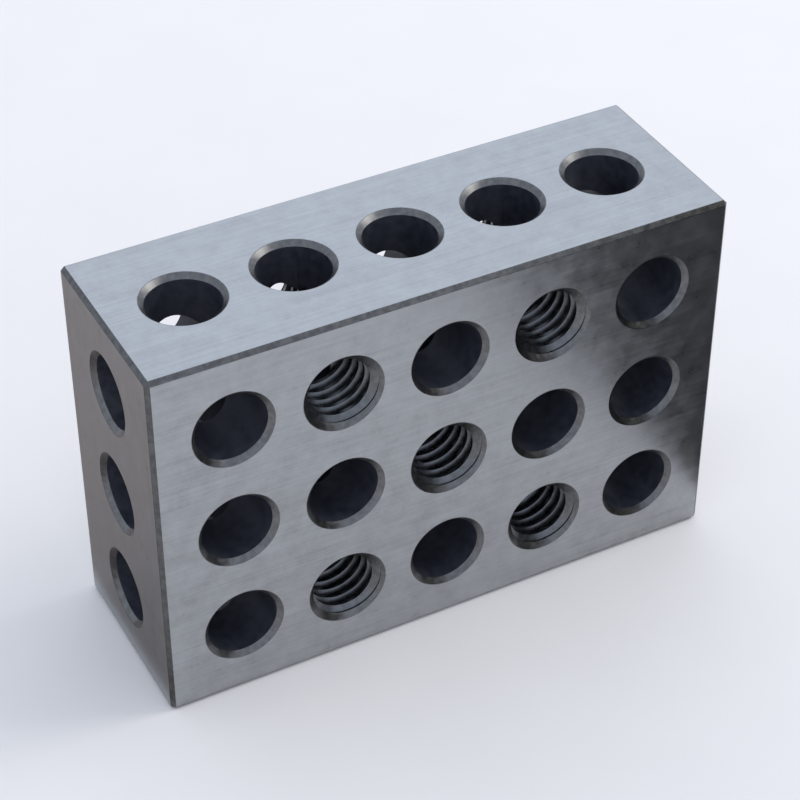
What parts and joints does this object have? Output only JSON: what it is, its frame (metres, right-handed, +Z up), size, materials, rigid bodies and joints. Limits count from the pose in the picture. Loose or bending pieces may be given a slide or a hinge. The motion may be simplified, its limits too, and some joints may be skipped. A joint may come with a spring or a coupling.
{
  "type": "machinist setup block",
  "caption": "Rectangular ground steel setup block with plain and tapped through holes in all three directions, countersunk mouths and broken edges.",
  "frame": {"origin": "centre of the 1 x 3 in face that the block rests on", "axes": "+X along the 3 in length, +Y across the 1 in thickness, +Z up the 2 in height"},
  "size_m": [0.0762, 0.0254, 0.0508],
  "materials": {
    "ground_steel": "surface-ground satin, with dark scale left in the holes"
  },
  "bodies": {
    "root": {"setup_block": "ground_steel"}
  },
  "joints": []
}
